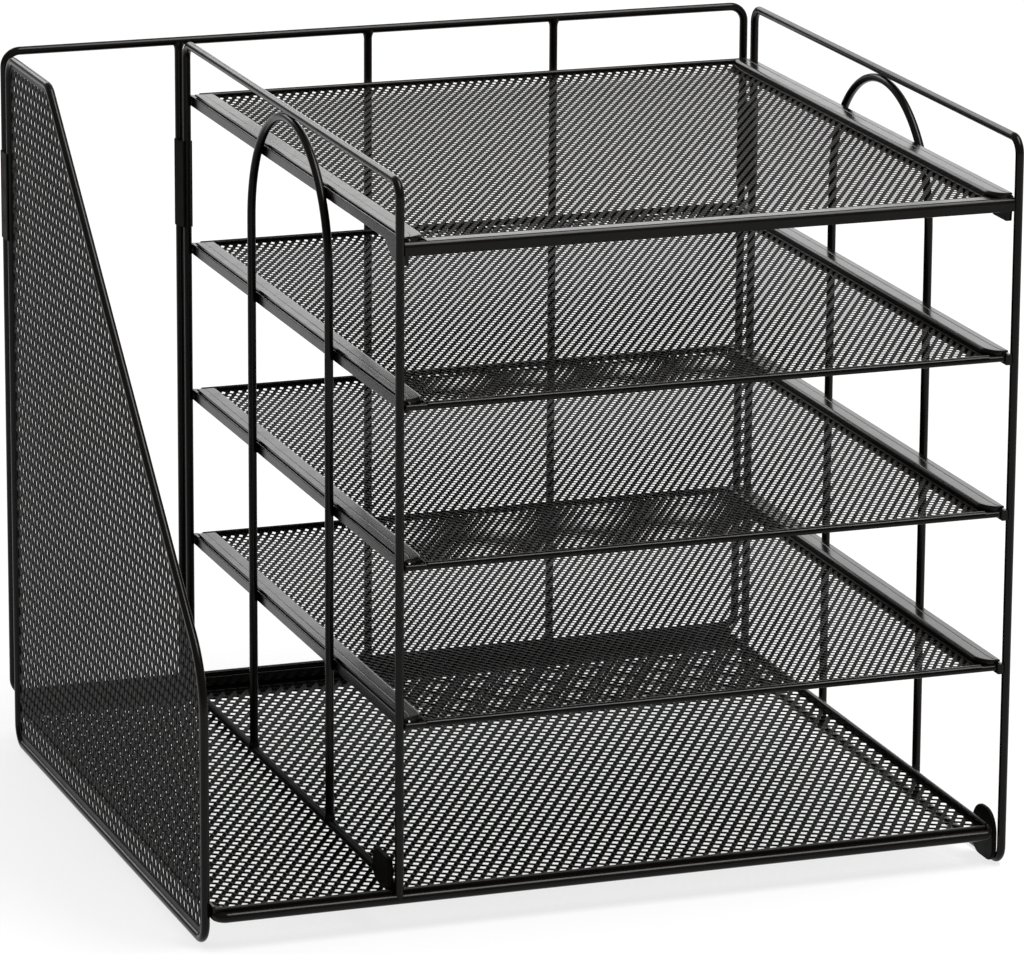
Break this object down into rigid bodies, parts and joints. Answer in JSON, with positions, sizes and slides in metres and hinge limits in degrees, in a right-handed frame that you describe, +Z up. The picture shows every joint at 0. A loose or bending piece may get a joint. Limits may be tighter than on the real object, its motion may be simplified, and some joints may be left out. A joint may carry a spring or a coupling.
{
  "type": "desk organizer",
  "caption": "Black wire and expanded-mesh desktop paper organizer: pull-out letter trays under a fixed top shelf, a mesh base and an upright file bay with a sloping side panel.",
  "frame": {"origin": "centre of the object's bounding box, on the desk plane", "axes": "+X to the right seen from the open front, +Y to the back, +Z up; the trays pull out along -Y"},
  "size_m": [0.366, 0.318, 0.326],
  "materials": {
    "wire_coat": "satin black powder coat on steel wire",
    "sheet_coat": "satin black powder coat on steel strip",
    "mesh_coat": "satin black powder coat on expanded steel mesh"
  },
  "bodies": {
    "frame": {"back_frame_loop": "wire_coat", "back_upright_1": "wire_coat", "back_upright_2": "wire_coat", "back_upright_3": "wire_coat", "base_back_bar": "wire_coat", "base_back_wall": "sheet_coat", "base_front_bar": "wire_coat", "base_left_wall": "sheet_coat", "base_mesh": "mesh_coat", "base_right_rim": "wire_coat", "base_right_wall": "sheet_coat", "clip_divider": "sheet_coat", "clip_left": "sheet_coat", "clip_right": "sheet_coat", "divider_arch": "wire_coat", "divider_bottom_rail": "wire_coat", "divider_frame": "wire_coat", "ear_divider": "sheet_coat", "ear_right": "sheet_coat", "file_panel_mesh": "mesh_coat", "file_panel_rim": "wire_coat", "rail_left_1": "sheet_coat", "rail_left_2": "sheet_coat", "rail_left_3": "sheet_coat", "rail_left_4": "sheet_coat", "rail_right_1": "sheet_coat", "rail_right_2": "sheet_coat", "rail_right_3": "sheet_coat", "rail_right_4": "sheet_coat", "right_arch": "wire_coat", "right_frame_loop": "wire_coat", "top_shelf_back_wire": "wire_coat", "top_shelf_front_strip": "sheet_coat", "top_shelf_left_edge": "sheet_coat", "top_shelf_mesh": "mesh_coat", "top_shelf_right_edge": "sheet_coat"},
    "tray_2": {"tray_2_back_wire": "wire_coat", "tray_2_front_wire": "wire_coat", "tray_2_left_edge": "sheet_coat", "tray_2_mesh": "mesh_coat", "tray_2_right_edge": "sheet_coat"},
    "tray_3": {"tray_3_back_wire": "wire_coat", "tray_3_front_wire": "wire_coat", "tray_3_left_edge": "sheet_coat", "tray_3_mesh": "mesh_coat", "tray_3_right_edge": "sheet_coat"},
    "tray_4": {"tray_4_back_wire": "wire_coat", "tray_4_front_wire": "wire_coat", "tray_4_left_edge": "sheet_coat", "tray_4_mesh": "mesh_coat", "tray_4_right_edge": "sheet_coat"}
  },
  "joints": [
    {"name": "tray_2_slide", "type": "slide", "parent": "frame", "child": "tray_2", "axis": [0, -1, 0], "range_m": [0, 0.12]},
    {"name": "tray_3_slide", "type": "slide", "parent": "frame", "child": "tray_3", "axis": [0, -1, 0], "range_m": [0, 0.12]},
    {"name": "tray_4_slide", "type": "slide", "parent": "frame", "child": "tray_4", "axis": [0, -1, 0], "range_m": [0, 0.12]}
  ]
}
